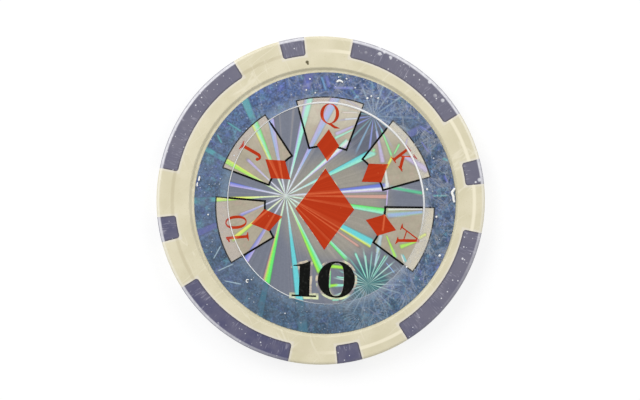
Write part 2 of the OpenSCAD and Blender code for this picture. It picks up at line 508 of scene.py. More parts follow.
def starburst_group():
    """Node group for the foil, at the place on the label: rays in the bare middle and under the clear ring,
    fine rays and the shade of the small bursts, and a fine radial streak."""
    tree = bpy.data.node_groups.new("starburst", "ShaderNodeTree")
    outputs = ("Ray Color", "Strength Float", "Rim Ray Color", "Rim Strength Float", "Fine Ray Color",
               "Fine Float", "Shade Color", "Deep Float", "Streak Float")
    for output in outputs:
        name, kind = output.rsplit(" ", 1)
        tree.interface.new_socket(name, in_out="OUTPUT", socket_type="NodeSocket" + kind)
    g = Graph(tree)
    place = millimetres(g)
    distance, angle, way = polar(g, place, MAIN_BURST)

    low, low_distance, low_chance = comb(g, place, LOW_BURST, 25, 0.13, 3.0)
    low_zone = zone(g, place, low_distance, 4.6)
    high, high_distance, high_chance = comb(g, place, HIGH_BURST, 19, 0.17, 11.0)
    high_zone = zone(g, place, high_distance, 5.2)
    low_deep = g.step(low_distance, 4.2, 1.6)
    fine = g.most(g.times(low, low_zone), g.times(high, high_zone))
    high_colour = g.mix(g.step(high_chance, 0.35, 0.75), srgb(152, 218, 224), srgb(150, 162, 228))
    low_colour = g.mix(g.step(low_chance, 0.2, 0.9), srgb(132, 226, 210), srgb(200, 244, 232))
    fine_colour = g.mix(g.step(low_distance, 6.0, 5.0), high_colour, low_colour)
    for seed, centre in enumerate(RIM_BURSTS):
        rays, rim_distance, _ = comb(g, place, centre, 44, 0.09, 20.0 + seed)
        near = zone(g, place, rim_distance, 3.4)
        faint = g.times(rays, near, 0.5)
        fine_colour = g.mix(near, fine_colour, PALE)
        fine = g.most(fine, faint)

    colour, strength = fan(g, distance, angle, MAIN_RAYS)
    patchy = g.noise(place, 0.9, detail=3.0)
    strength = g.times(strength, g.blend(patchy, 0.85, 1.3), clamp=True)
    wide_rays = [ray for ray in MAIN_RAYS if ray[1] > NEAR_LEAST]
    near_rays = [(middle, NEAR_HALF, FAR, colours) for middle, _, _, colours in wide_rays]
    near_colour, near_strength = fan(g, distance, angle, near_rays)
    near_strength = g.most(near_strength, g.step(distance, 0.4, 0.1))
    near = g.step(distance, 2.6, 0.9)
    colour = g.mix(near, colour, near_colour)
    strength = g.blend(near, strength, near_strength)
    pale = g.step(distance, 6.0, 0.8)
    colour = g.tint(colour, pale, 0.7, WHITE)
    x, y, _ = g.split(place)
    others = g.most(g.step(high_distance, 4.5, 4.2), g.step(low_distance, 4.6, 3.6))
    for slope in MAIN_END_SLOPES:
        past = g.plus(y, -slope, x)
        others = g.most(others, g.step(past, MAIN_END_X - 0.05, MAIN_END_X + 0.05))
    strength = g.times(strength, g.minus(1.0, others))
    colour, strength = add_streaks(g, place, STREAKS, colour, strength)
    grain = g.noise(place, 5.0, roughness=0.7)
    strength = g.times(strength, g.blend(g.step(grain, 0.25, 0.6), 0.72, 1.0))

    rim_colour, rim_strength = fan(g, distance, angle, RIM_RAYS)
    rim_patchy = g.patches(place, 0.55, 0.32, 0.6)
    rim_colour, rim_strength = add_streaks(
        g, place, RIM_STREAKS, rim_colour, g.times(rim_strength, rim_patchy))

    results = {
        "Ray": colour,
        "Strength": strength,
        "Rim Ray": rim_colour,
        "Rim Strength": rim_strength,
        "Fine Ray": fine_colour,
        "Fine": fine,
        "Shade": g.mix(low_deep, srgb(102, 106, 120), srgb(64, 108, 116)),
        "Deep": g.most(low_deep, high_zone),
        "Streak": g.noise(way, 14.0, detail=4.0, roughness=0.7),
    }
    g.fill(g.add("NodeGroupOutput"), **results)
    return tree


def millimetres(g):
    """The place on the object in millimetres."""
    return g.scaled(g.add("ShaderNodeTexCoord").outputs["Object"], 1 / MM)


def new_material(name):
    """The graph of a new material, which holds it and its shader's inputs, and the place in millimetres."""
    material = bpy.data.materials.new(name)
    material.use_nodes = True
    g = Graph(material.node_tree)
    g.material = material
    g.shader = material.node_tree.nodes["Principled BSDF"].inputs
    return g, millimetres(g)


# Half width of a scratch, in millimetres
SCRATCH_HALF = 0.035
# Scratches of the clear ring: turn in degrees, length and gap in millimetres, and share of the surface
SCRATCHES = (
    (14, 1.8, 0.5, 0.46),
    (-38, 2.2, 0.45, 0.46),
    (66, 1.6, 0.5, 0.46),
    (-74, 2.0, 0.45, 0.46),
    (38, 7.0, 1.1, 0.42),
    (-58, 5.0, 0.9, 0.42),
)


def clear_window(g, place):
    """1 at the edge of the bare middle of the label, less inside it and more outside."""
    away = g.away(place, CLEAR_CENTRE)
    c, s = math.cos(CLEAR_TURN), math.sin(CLEAR_TURN)
    across = g.dot(away, (c / CLEAR_HALF[0], s / CLEAR_HALF[0]))
    along = g.dot(away, (-s / CLEAR_HALF[1], c / CLEAR_HALF[1]))
    return g.length(g.join(across, along))


def specks(g, place, scale, size, share):
    """Round specks about size across in cells of 1/scale, in the given share of the cells."""
    cell = g.cells(place, scale)
    near = g.step(cell["Distance"], size * scale, size * scale * 0.5)
    return g.times(near, g.math("LESS_THAN", g.split(cell["Color"])[0], share))


def scratches(g, place, turn, length, gap, share):
    """Thin straight scratches at an angle in degrees."""
    node = g.add("ShaderNodeMapping", vector_type="TEXTURE")
    rotation = (0.0, 0.0, math.radians(turn))
    grain = g.fill(node, Vector=place, Rotation=rotation, Scale=(length, gap, 1.0))[0]
    wavy = g.noise(grain, 1.0, detail=1.0)
    line = g.step(g.size(g.minus(wavy, 0.5)), SCRATCH_HALF / gap, 0.0)
    patch = g.patches(grain, 0.6, 1.0 - share, 1.08 - share, detail=1.0)
    return g.times(line, patch)


def rays_of(g):
    """Outputs of the starburst group in a material."""
    return g.add("ShaderNodeGroup", node_tree=starburst).outputs


def under_rays(g, rays, base, gain, fine_gain):
    """A base colour with the rays of the bare middle over it."""
    colour = g.mix(g.times(rays["Strength"], gain, clamp=True), base, rays["Ray"])
    return g.tint(colour, rays["Fine"], fine_gain, rays["Fine Ray"])


def foil_material():
    """Metallised film: taupe to grey violet in the bare middle and blue round it."""
    g, place = new_material("foil_label")
    rays = rays_of(g)
    x, y, _ = g.split(place)
    away, _, _ = polar(g, place, WARM_CENTRE)
    base = g.mix(g.step(away, 4.5, 8.0), srgb(163, 158, 147), srgb(124, 129, 143))
    base = g.tint(base, rays["Deep"], 0.85, rays["Shade"])
    base = g.shade(base, rays["Streak"], 0.74, 1.28)
    base = g.shade(base, g.noise(place, 5.0), 0.86, 1.14)
    base = g.tint(base, g.step(rays["Streak"], 0.54, 0.7), 0.45, srgb(192, 182, 170))
    inside = under_rays(g, rays, base, 1.06, 0.95)

    cloud = g.noise(place, 0.25, detail=3.0)
    ring = g.mix(g.step(cloud, 0.35, 0.65), srgb(58, 88, 118), srgb(72, 94, 134))
    ring = g.tint(ring, g.step(y, 6.0, 14.0), 0.5, srgb(72, 100, 166))
    for scale, glow in ((0.75, srgb(80, 134, 150)), (0.95, srgb(86, 94, 168))):
        patch = g.patches(place, scale, 0.54, 0.72, detail=3.0, distortion=0.5)
        ring = g.tint(ring, patch, 0.6, glow)
    ring = g.tint(ring, g.step(y, -9.0, -13.0), 0.5, srgb(54, 94, 118))
    # Painted sheen: the ring brighter towards the upper left and lower right, darker towards the upper right
    # and lower left
    across = g.size(g.plus(y, -0.58, x))
    ring = g.shade(ring, g.step(across, 8.0, 17.0), 0.97, 1.2)
    ring = g.shade(ring, rays["Streak"], 0.8, 1.2)
    ring = g.shade(ring, g.patches(place, 4.0, 0.3, 0.7, detail=3.0), 0.58, 1.38)
    ring = g.shade(ring, g.patches(place, 1.5, 0.36, 0.64, detail=4.0), 0.76, 1.22)
    window = clear_window(g, place)
    inner = g.step(window, 1.13, 1.03)
    ring = g.shade(ring, inner, 0.92, 1.0)
    pale = g.blend(g.step(g.minus(y, x), -2.0, 10.0), 0.24, 0.4)
    ring = g.tint(ring, inner, pale, srgb(150, 168, 184))
    left = g.times(g.step(g.plus(y, 0.3, x), -6.0, -13.0), g.step(cloud, 0.3, 0.6))
    ring = g.tint(ring, left, 0.25, srgb(112, 134, 156))
    glitter = g.patches(place, 3.4, 0.56, 0.72, detail=3.0, roughness=0.65, distortion=0.8)
    ring = g.tint(ring, glitter, 0.4, srgb(138, 160, 190))
    ring = g.tint(ring, rays["Rim Strength"], 0.95, rays["Rim Ray"])
    ring = g.tint(ring, rays["Fine"], 0.6, rays["Fine Ray"])

    edge = g.step(window, 0.997, 1.003)
    return g.surface(
        Base_Color=g.mix(edge, inside, ring),
        Roughness=g.blend(g.noise(place, 4.0), 0.28, 0.42),
        Normal=g.bump(g.noise(place, 2.5, detail=4.0), 0.1, 0.02 * MM),
        Metallic=0.15,
    )


def card_material():
    """Beige silver print of the cards, through which the foil shows, with painted light towards the top."""
    g, place = new_material("card_print")
    rays = rays_of(g)
    x, y, _ = g.split(place)
    cloud = g.plus(g.noise(place, 0.5, detail=3.0), 0.7, -0.1)
    # Painted light: the cards lighter towards the top, with cloudy patches of random tone
    light = g.plus(g.step(y, 6.0, 11.5), 0.7, cloud, clamp=True)
    base = g.mix(light, srgb(167, 158, 137), srgb(211, 203, 183))
    blush = g.patches(place, 1.1, 0.5, 0.75)
    base = g.tint(base, blush, 0.4, srgb(196, 168, 156))
    base = g.shade(base, rays["Streak"], 0.82, 1.18)
    base = g.shade(base, g.noise(place, 5.0), 0.9, 1.1)
    covered = g.times(g.step(clear_window(g, place), 1.0, 1.01), 0.65)
    pale = g.mix(g.step(x, 0.0, 11.0), srgb(202, 190, 180), srgb(238, 229, 206))
    base = g.mix(covered, base, g.shade(pale, g.noise(place, 2.5, detail=3.0), 0.88, 1.12))
    return g.surface(
        Base_Color=under_rays(g, rays, base, 0.82, 0.3),
        Roughness=g.blend(g.noise(place, 5.0), 0.3, 0.45),
        Metallic=0.12,
    )


def red_material():
    """Translucent red ink: the rays that hold red light show through it as orange streaks."""
    g, place = new_material("red_ink")
    rays = rays_of(g)
    base = g.mix(g.step(rays["Streak"], 0.35, 0.75), srgb(178, 50, 14), srgb(190, 58, 20))
    red_light = g.times(rays["Strength"], g.split(rays["Ray"])[0])
    colour = g.tint(base, red_light, 0.48, srgb(250, 138, 88))
    dots = specks(g, place, 1.6, 0.07, 0.25)
    return g.surface(
        Base_Color=g.tint(colour, dots, 0.5, srgb(236, 140, 84)),
        Roughness=g.blend(g.noise(place, 5.0), 0.32, 0.45),
        Specular_IOR_Level=0.16,
    )


def black_material():
    """Black ink, a little worn."""
    g, place = new_material("black_ink")
    worn = g.patches(place, 3.0, 0.5, 0.8, detail=4.0)
    return g.surface(
        Base_Color=g.mix(worn, srgb(8, 10, 8), srgb(34, 36, 32)),
        Roughness=g.blend(worn, 0.4, 0.6),
        Specular_IOR_Level=0.16,
    )


def halo_material():
    """Bare foil left round the number."""
    g, place = new_material("bare_foil")
    rays = rays_of(g)
    patch = g.patches(place, 0.9, 0.46, 0.62, detail=3.0)
    base = g.mix(patch, srgb(148, 142, 148), srgb(226, 212, 186))
    glint = g.patches(place, 1.4, 0.58, 0.68, distortion=1.0)
    low = g.step(g.split(place)[1], -10.9, -11.4)
    base = g.tint(base, g.most(glint, low), g.blend(patch, 0.6, 1.0), srgb(236, 246, 196))
    return g.surface(
        Base_Color=under_rays(g, rays, base, 1.0, 0.6),
        Roughness=g.blend(g.noise(place, 5.0), 0.26, 0.4),
        Metallic=0.15,
    )


def cover_material():
    """Clear film: hazy, with scratches, curls of wear and dust, most of them to the right, and white along
    its cut inner edge, with a painted highlight that makes that edge brighter towards the upper left and
    fainter towards the lower right."""
    g, place = new_material("clear_film")
    x, y, _ = g.split(place)
    worn = g.blend(g.step(g.plus(y, 0.35, x), -12.0, 11.0), 0.3, 1.0)
    window = clear_window(g, place)
    wide = g.blend(g.step(g.math("ADD", x, y), 4.0, 13.0), 0.0, 0.01)
    cut = g.step(g.minus(window, wide), 1.0105, 1.005)
    # Painted highlight on the cut edge: brighter towards the upper left, fainter towards the lower right
    painted_highlight_side = g.blend(g.step(g.plus(x, -0.7, y), -14.0, -3.0), 0.25, 1.15)
    cut = g.times(cut, g.blend(g.noise(place, 0.3, detail=1.0), 0.5, 1.2))
    cut = g.times(cut, painted_highlight_side, clamp=True)
    frost = g.times(g.step(window, 1.08, 1.01), g.step(g.plus(y, -0.4, x), 2.0, 10.0))
    shift = g.fill(g.add("ShaderNodeTexNoise"), Vector=place, Scale=1.5)["Color"]
    warped = g.vector("ADD", place, g.scaled(shift, 0.9))
    curls = g.step(g.cells(warped, 2.2, "DISTANCE_TO_EDGE")["Distance"], 0.08, 0.0)
    lines = g.times(curls, g.patches(place, 0.6, 0.5, 0.62, detail=1.0))
    for turn, length, gap, share in SCRATCHES:
        lines = g.most(lines, scratches(g, place, turn, length, gap, share))
    lines = g.times(lines, worn)
    haze = g.patches(place, 0.8, 0.4, 0.75, detail=4.0, roughness=0.6)
    haze = g.times(g.most(g.times(haze, 0.5), frost), worn)
    alpha = g.plus(haze, 0.12, 0.02)
    alpha = g.most(alpha, g.times(lines, 0.2))
    alpha = g.most(alpha, cut)
    for scale, size, share, solid in ((0.7, 0.13, 0.2, 1.0), (1.7, 0.08, 0.3, 0.8), (3.1, 0.05, 0.3, 0.5)):
        dots = g.times(specks(g, place, scale, size, share), solid)
        alpha = g.most(alpha, dots)
    return g.surface(
        Base_Color=g.mix(cut, srgb(214, 218, 224), srgb(252, 252, 250)),
        Alpha=alpha,
        Roughness=g.blend(haze, 0.2, 0.5),
    )


def spot_distance(g, distance, angle):
    """Distance in millimetres outside the nearest spot's edge, below 0 inside a spot."""
    inward = g.minus(SPOT_INNER_R, distance)
    nearest = 99.0
    for middle, half in SPOTS:
        turn = g.math("WRAP", g.minus(angle, middle), SPOT_PITCH / 2, -SPOT_PITCH / 2)
        side = g.math("RADIANS", g.minus(g.size(turn), half))
        outside = g.most(g.times(side, distance), inward)
        nearest = g.math("MINIMUM", nearest, outside)
    return nearest


def lit_side(g, place):
    """1 on the side of the chip towards the light and 0 on the far side."""
    x, y, _ = g.split(place)
    return g.step(g.plus(x, -0.4, y), -22.0, -6.0)


def rim_highlight_band(g, distance, start, full, fade, end):
    """1 along the rounded rim of a face, between distances from the outline in millimetres: the mask of a
    painted highlight.
    """
    rim = CHIP_R / MM
    return g.times(g.step(distance, rim - start, rim - full), g.step(distance, rim - end, rim - fade))


# Dark stains on the front of the cream plastic: place and radius in millimetres
STAINS = (((-1.64, 16.82), 0.26), ((-1.55, 16.6), 0.16))


def cream_material():
    """Cream plastic with soft mottling, specks, hairline scratches, a pale line along the spots, a painted
    highlight on the rounded rim's lit side, and a recess wall that is darker at the left and paler at the
    right: painted shade and painted light."""
    g, place = new_material("cream_plastic")
    distance, angle, _ = polar(g, place, (0.0, 0.0))
    cloud = g.noise(place, 0.35, detail=4.0)
    colour = g.mix(g.step(cloud, 0.3, 0.7), srgb(216, 208, 177), srgb(225, 217, 188))
    fine = g.noise(place, 5.0, detail=3.0)
    colour = g.mix(g.step(fine, 0.55, 0.8), colour, srgb(210, 199, 164))
    colour = g.tint(colour, specks(g, place, 1.1, 0.09, 0.2), 0.7, srgb(243, 236, 212))
    colour = g.tint(colour, specks(g, place, 0.7, 0.07, 0.1), 0.6, srgb(166, 150, 118))
    lines = g.most(scratches(g, place, 40, 6, 0.8, 0.45), scratches(g, place, -64, 5, 0.9, 0.45))
    colour = g.tint(colour, lines, 0.45, srgb(240, 233, 210))
    beside_spot = g.step(spot_distance(g, distance, angle), 0.34, 0.12)
    colour = g.tint(colour, beside_spot, 0.6, srgb(230, 224, 212))
    # Painted highlight along the rounded rim on the lit side, strongest at the left and right
    edge = rim_highlight_band(g, distance, 0.5, 0.25, 0.15, 0.05)
    edge = g.times(edge, lit_side(g, place))
    x = g.split(place)[0]
    worn = g.blend(g.step(g.size(x), 4.0, 18.0), 0.1, 0.6)
    colour = g.tint(colour, edge, worn, srgb(246, 242, 226))
    away, _, _ = polar(g, place, RECESS_CENTRE)
    wall_middle = (RECESS_FLOOR_R + RECESS_EDGE_R) / 2
    wall = g.step(g.size(g.minus(away, wall_middle)), 0.3, 0.1)
    # Painted shade on the left part of the recess wall
    left = g.step(g.plus(g.noise(place, 0.3), 6.0, x), 8.0, -3.0)
    colour = g.tint(colour, g.times(wall, left), 0.25, srgb(166, 150, 112))
    # Painted light on the right part of the recess wall
    right = g.times(wall, g.minus(1.0, left))
    colour = g.tint(colour, right, 0.8, srgb(246, 238, 212))
    for stain, size in STAINS:
        near = g.length(g.vector("SUBTRACT", place, (*stain, CHIP_T / MM)))
        colour = g.mix(g.step(near, size, 0.5 * size), colour, srgb(96, 88, 60))
    height = g.minus(fine, g.times(lines, 0.6))
    return g.surface(
        Base_Color=colour,
        Roughness=g.blend(fine, 0.3, 0.5),
        Normal=g.bump(height, 0.12, 0.03 * MM),
    )


def purple_material():
    """Purple plastic, scuffed: fine scratches towards the rim, white specks and a dark line along its
    border, with a painted pale sheen towards the top and a painted highlight on the rounded rim's lit side."""
    g, place = new_material("purple_plastic")
    distance, angle, _ = polar(g, place, (0.0, 0.0))
    lit = lit_side(g, place)
    cloud = g.noise(place, 0.5, detail=4.0)
    colour = g.mix(g.step(cloud, 0.3, 0.7), srgb(84, 84, 114), srgb(104, 102, 124))
    x, y, height = g.split(place)
    # Painted sheen: the spots paler and greyer towards the top
    haze = g.step(g.plus(x, 0.6, y), -20.0, -2.0)
    colour = g.tint(colour, haze, 0.5, srgb(130, 128, 138))
    unrolled = g.join(g.times(angle, 2.3), g.times(distance, 0.9), height)
    wisps = g.patches(unrolled, 1.0, 0.52, 0.72, detail=4.0, distortion=0.6)
    wisps = g.times(wisps, g.patches(place, 0.7, 0.4, 0.62))
    colour = g.tint(colour, wisps, 0.5, srgb(184, 181, 196))
    white = 0.0
    for scale, size, share in ((0.7, 0.17, 0.3), (1.5, 0.11, 0.35), (2.6, 0.07, 0.3)):
        white = g.most(white, specks(g, place, scale, size, share))
    rubbed = g.times(g.step(distance, 18.4, 19.5), g.step(g.math("ADD", x, y), 14.0, 24.0))
    white = g.most(white, g.times(specks(g, place, 1.3, 0.3, 0.45), rubbed))
    colour = g.tint(colour, white, 0.8, srgb(238, 238, 242))
    border = g.step(g.times(spot_distance(g, distance, angle), -1.0), 0.24, 0.06)
    colour = g.tint(colour, border, 0.55, srgb(70, 65, 72))
    # Painted highlight, patchy, along the rounded rim on the lit side
    edge = rim_highlight_band(g, distance, 0.5, 0.32, 0.14, 0.03)
    edge = g.times(edge, g.times(lit, g.blend(g.noise(place, 1.5), 0.5, 1.1)), clamp=True)
    colour = g.mix(edge, colour, srgb(230, 229, 234))
    return g.surface(
        Base_Color=colour,
        Roughness=g.blend(wisps, 0.32, 0.55),
        Normal=g.bump(g.noise(place, 5.0, detail=3.0), 0.12, 0.03 * MM),
    )


def steel_material():
    """Tumbled steel of the hidden slug."""
    g, place = new_material("steel")
    worn = g.noise(place, 1.5, detail=5.0)
    return g.surface(
        Base_Color=g.mix(worn, srgb(138, 141, 146), srgb(182, 184, 188)),
        Roughness=g.blend(worn, 0.3, 0.55),
        Metallic=1.0,
    )


def film_material(name, cloud, tones, grain, rough):
    """Adhesive or glue: two tones mixed by clouds of a scale and detail, and a finer grain of roughness."""
    g, place = new_material(name)
    return g.surface(
        Base_Color=g.mix(g.noise(place, *cloud), *(srgb(*tone) for tone in tones)),
        Roughness=g.blend(g.noise(place, grain), *rough),
    )


def object_from(name, vertices, faces, material, matrix=Matrix.Identity(4), smooth=False):
    """A mesh object in the scene, in place."""
    mesh = bpy.data.meshes.new(name)
    mesh.from_pydata(vertices, [], faces)
    mesh.polygons.foreach_set("use_smooth", [smooth] * len(mesh.polygons))
    mesh.materials.append(material)
    mesh.update()
    piece = bpy.data.objects.new(name, mesh)
    piece.matrix_world = matrix
    bpy.context.scene.collection.objects.link(piece)
    return piece


def flat_solid(solids, holes, bottom, top):
    """Vertices and faces of a closed flat piece: the union of solid outlines less the hole outlines.
    Outlines are in millimetres, anticlockwise; bottom and top are heights in metres."""
    points, loops = [], []
    for outline in solids + holes:
        loops.append(list(range(len(points), len(points) + len(outline))))
        points += [Vector(p) for p in outline]
    places, _, triangles, _, _, sources = delaunay_2d_cdt(points, [], loops, 1, 1e-6)
    first_hole = len(solids)
    kept = [t for t, ids in zip(triangles, sources)
            if any(i < first_hole for i in ids) and not any(i >= first_hole for i in ids)]
    used = sorted({i for t in kept for i in t})
    index = {old: new for new, old in enumerate(used)}
    count = len(used)
    vertices = [(places[i].x * MM, places[i].y * MM, z) for z in (bottom, top) for i in used]
    faces = []
    sides = {}
    for triangle in kept:
        a, b, c = (index[i] for i in triangle)
        faces += [(a + count, b + count, c + count), (c, b, a)]
        for edge in ((a, b), (b, c), (c, a)):
            if edge[::-1] in sides:
                del sides[edge[::-1]]
            else:
                sides[edge] = True
    faces += [(a, b, b + count, a + count) for a, b in sides]
    return vertices, faces


def turned(points, degrees, shift=(0.0, 0.0)):
    """Points turned about the origin, then shifted."""
    c, s = math.cos(math.radians(degrees)), math.sin(math.radians(degrees))
    return [(x * c - y * s + shift[0], x * s + y * c + shift[1]) for x, y in points]


def rect(x0, y0, x1, y1):
    """Corners of an upright rectangle, anticlockwise."""
    return [(x0, y0), (x1, y0), (x1, y1), (x0, y1)]


def oval(x, y, half_x, half_y, power=2.0, steps=72):
    """A round outline; a power above 2 makes it squarer."""
    outline = []
    for i in range(steps):
        c, s = math.cos(math.tau * i / steps), math.sin(math.tau * i / steps)
        outline.append((
            x + half_x * math.copysign(abs(c) ** (2 / power), c),
            y + half_y * math.copysign(abs(s) ** (2 / power), s),
        ))
    return outline


def stroke(points, half_widths):
    """Outline of a line of changing width through points, anticlockwise."""
    left, right = [], []
    for i, (x, y) in enumerate(points):
        before = Vector(points[max(i - 1, 0)])
        after = Vector(points[min(i + 1, len(points) - 1)])
        along = (after - before).normalized()
        half = half_widths[i]
        left.append((x - along.y * half, y + along.x * half))
        right.append((x + along.y * half, y - along.x * half))
    return right + left[::-1]


def arc(x, y, half_x, half_y, start, end, steps):
    """Points along part of an oval, from one angle to another in degrees."""
    angles = [math.radians(start + (end - start) * i / steps) for i in range(steps + 1)]
    return [(x + half_x * math.cos(a), y + half_y * math.sin(a)) for a in angles]


def serif(x, y, half, thick, stem_half, rise):
    """A serif: a thin bar at height y, and sloping shoulders above it or, with rise below 0, under it."""
    inner = y + math.copysign(thick, rise)
    bar = rect(x - half, min(y, inner), x + half, max(y, inner))
    shoulder = [(x - half * 0.75, inner), (x + half * 0.75, inner), (x + stem_half, inner + rise),
                (x - stem_half, inner + rise)]
    if rise < 0:
        shoulder.reverse()
    return [bar, shoulder]


# Rank glyphs with a cap height of 1 and their middle at x = 0: solid outlines and hole outlines
def glyph_j():
    hook = arc(-0.04, 0.1, 0.13, 0.18, 0, -150, 12)
    widths = [0.08 - 0.035 * i / 12 for i in range(13)]
    solids = [rect(0.01, 0.09, 0.17, 1.0), stroke(hook, widths), oval(-0.14, 0.0, 0.08, 0.08, steps=24)]
    return solids + serif(0.09, 1.04, 0.24, 0.045, 0.09, -0.06), []


def glyph_q():
    tail = [(-0.1, 0.03), (0.08, -0.03), (0.28, -0.16), (0.52, -0.2)]
    bowl = oval(0.0, 0.5, 0.47, 0.51)
    return [bowl, stroke(tail, [0.03, 0.06, 0.065, 0.015])], [oval(0.0, 0.5, 0.305, 0.465)]


def glyph_k():
    solids = [rect(-0.29, 0.02, -0.15, 0.98)]
    solids.append(stroke([(-0.19, 0.38), (0.31, 0.97)], [0.03, 0.035]))
    solids.append(stroke([(-0.07, 0.53), (0.31, 0.03)], [0.075, 0.075]))
    for x, half, stem in ((-0.22, 0.19, 0.08), (0.33, 0.17, 0.09)):
        solids += serif(x, 0.0, half, 0.045, stem, 0.05)
    for x, half, stem in ((-0.22, 0.19, 0.08), (0.31, 0.15, 0.05)):
        solids += serif(x, 1.0, half, 0.045, stem, -0.05)
    return solids, []


def glyph_a():
    solids = [stroke([(-0.36, 0.02), (0.0, 1.08)], [0.03, 0.035])]
    solids.append(stroke([(0.36, 0.02), (0.02, 1.06)], [0.07, 0.07]))
    solids.append(rect(-0.24, 0.31, 0.24, 0.365))
    solids += serif(-0.36, 0.0, 0.16, 0.045, 0.04, 0.05) + serif(0.36, 0.0, 0.19, 0.045, 0.1, 0.05)
    return solids, []


def glyph_ten():
    flag = [(-0.72, 0.88), (-0.58, 0.9), (-0.44, 1.06), (-0.54, 1.06), (-0.72, 0.93)]
    solids = [rect(-0.58, -0.04, -0.44, 1.04), flag]
    solids += serif(-0.51, -0.06, 0.21, 0.045, 0.08, 0.05)
    solids.append(oval(0.24, 0.5, 0.33, 0.53, 2.2))
    return solids, [oval(0.24, 0.5, 0.19, 0.47, 2.2)]


GLYPHS = {"10": glyph_ten, "J": glyph_j, "Q": glyph_q, "K": glyph_k, "A": glyph_a}


def card_outline(angle):
    """Outline of one card: part of a ring."""
    inner, outer = CARD_RADII
    low, high = angle - CARD_HALF_WIDTH, angle + CARD_HALF_WIDTH
    outline = arc(0, 0, outer, outer, low, high, 16) + arc(0, 0, inner, inner, high, low, 10)
    return turned(outline, 0, PRINT_CENTRE)


def card_lines(angle):
    """Black outline of one card: bold in the bare middle of the label and fine under the cover ring."""
    inner, outer = CARD_RADII
    bold, fine = CARD_LINE / 2, CARD_LINE_COVERED / 2
    cover_edge = sum(CLEAR_HALF) / 2
    lines = []
    for radius, half in ((inner, bold), (outer, fine)):
        curve = arc(0, 0, radius, radius, angle - CARD_HALF_WIDTH, angle + CARD_HALF_WIDTH, 16)
        lines.append(stroke(curve, [half] * len(curve)))
    for side in (-CARD_HALF_WIDTH, CARD_HALF_WIDTH):
        reach = [(inner - bold, 0), (cover_edge, 0), (cover_edge + 0.05, 0), (outer + fine, 0)]
        lines.append(stroke(turned(reach, angle + side), [bold, bold, fine, fine]))
    return [turned(line, 0, PRINT_CENTRE) for line in lines]


def diamond(half_x, half_y, degrees, centre):
    """A diamond with slightly hollow sides."""
    corners = [(half_x, 0), (0, half_y), (-half_x, 0), (0, -half_y)]
    outline = []
    for (x0, y0), (x1, y1) in zip(corners, corners[1:] + corners[:1]):
        for i in range(6):
            t = i / 6
            hollow = 1 - 0.06 * t * (1 - t)
            outline.append(((x0 + (x1 - x0) * t) * hollow, (y0 + (y1 - y0) * t) * hollow))
    return turned(outline, degrees, centre)


def number_outlines(grow, grow_inside):
    """Solid and hole outlines of the number, grown outwards on all sides and into the zero's opening."""
    stem_half, half_height, foot = 0.64, 2.2, 0.2
    one = [rect(-stem_half - grow, -half_height - grow, stem_half + grow, half_height - 0.5 + grow)]
    one.append(rect(-1.5 - grow, -half_height - grow, 1.5 + grow, -half_height + foot + grow))
    flag_top = [(stem_half + grow, 2.22 + grow), (0.3, 2.03 + grow), (-0.2, 1.82 + grow)]
    flag_top += [(-0.85, 1.69 + grow), (-1.42 - grow, 1.6 + grow)]
    one.append([(-1.42 - grow, 1.5 - grow), (-0.6, 1.48 - grow), (stem_half + grow, 1.4)] + flag_top)
    solids = [turned(part, 0, (ONE_X, NUMBER_Y)) for part in one]
    solids.append(oval(ZERO_X, NUMBER_Y + 0.03, 2.26 + grow, 2.22 + grow, 2.06))
    holes = [oval(ZERO_X, NUMBER_Y + 0.03, 0.9 - grow_inside, 2.0 - grow_inside, 2.7)]
    return solids, holes


def rank_outlines():
    """Outlines of all the ranks, each with its top away from the print's centre."""
    solids, holes = [], []
    for rank, angle, (right, out), turn, _ in CARDS:
        middle = (right, RANK_BASE_R + RANK_HEIGHT / 2 + out)
        for outlines, group in zip(GLYPHS[rank](), (solids, holes)):
            for outline in outlines:
                sized = [(x * RANK_HEIGHT, (y - 0.5) * RANK_HEIGHT) for x, y in outline]
                group.append(turned(turned(sized, turn, middle), angle - 90, PRINT_CENTRE))
    return solids, holes


def band(low, high, around):
    """Faces between two rings of vertices whose first numbers are low and high."""
    steps = [(k, (k + 1) % around) for k in range(around)]
    return [(low + k, low + j, high + j, high + k) for k, j in steps]


def foil_mesh():
    """Disc of the foil, with a finely rounded edge and a faint wave, as vertices and faces."""
    around, rings = 180, 24
    edge = 0.02 * MM
    vertices, faces = [], []

    def circle(radius, height, wave):
        for i in range(around):
            a = math.tau * i / around
            x = radius * math.cos(a) - PRINT_SLIP[0] * MM
            y = radius * math.sin(a) - PRINT_SLIP[1] * MM
            lift = wave * noise.noise(Vector((x, y, 0.0)) / (4 * MM))
            vertices.append((x, y, height + lift))

    circle(LABEL_R - edge, 0.0, 0.0)
    circle(LABEL_R, edge, 0.0)
    circle(LABEL_R, FOIL_TOP - edge, 0.0)
    circle(LABEL_R - edge, FOIL_TOP, 0.0)
    for ring in range(rings - 1, 0, -1):
        circle((LABEL_R - edge) * ring / rings, FOIL_TOP - 0.001 * MM, 0.001 * MM)
    for level in range(rings + 2):
        faces += band(level * around, (level + 1) * around, around)
    faces.append(tuple(range(around - 1, -1, -1)))
    faces.append(tuple(range((rings + 2) * around, (rings + 3) * around)))
    return vertices, faces


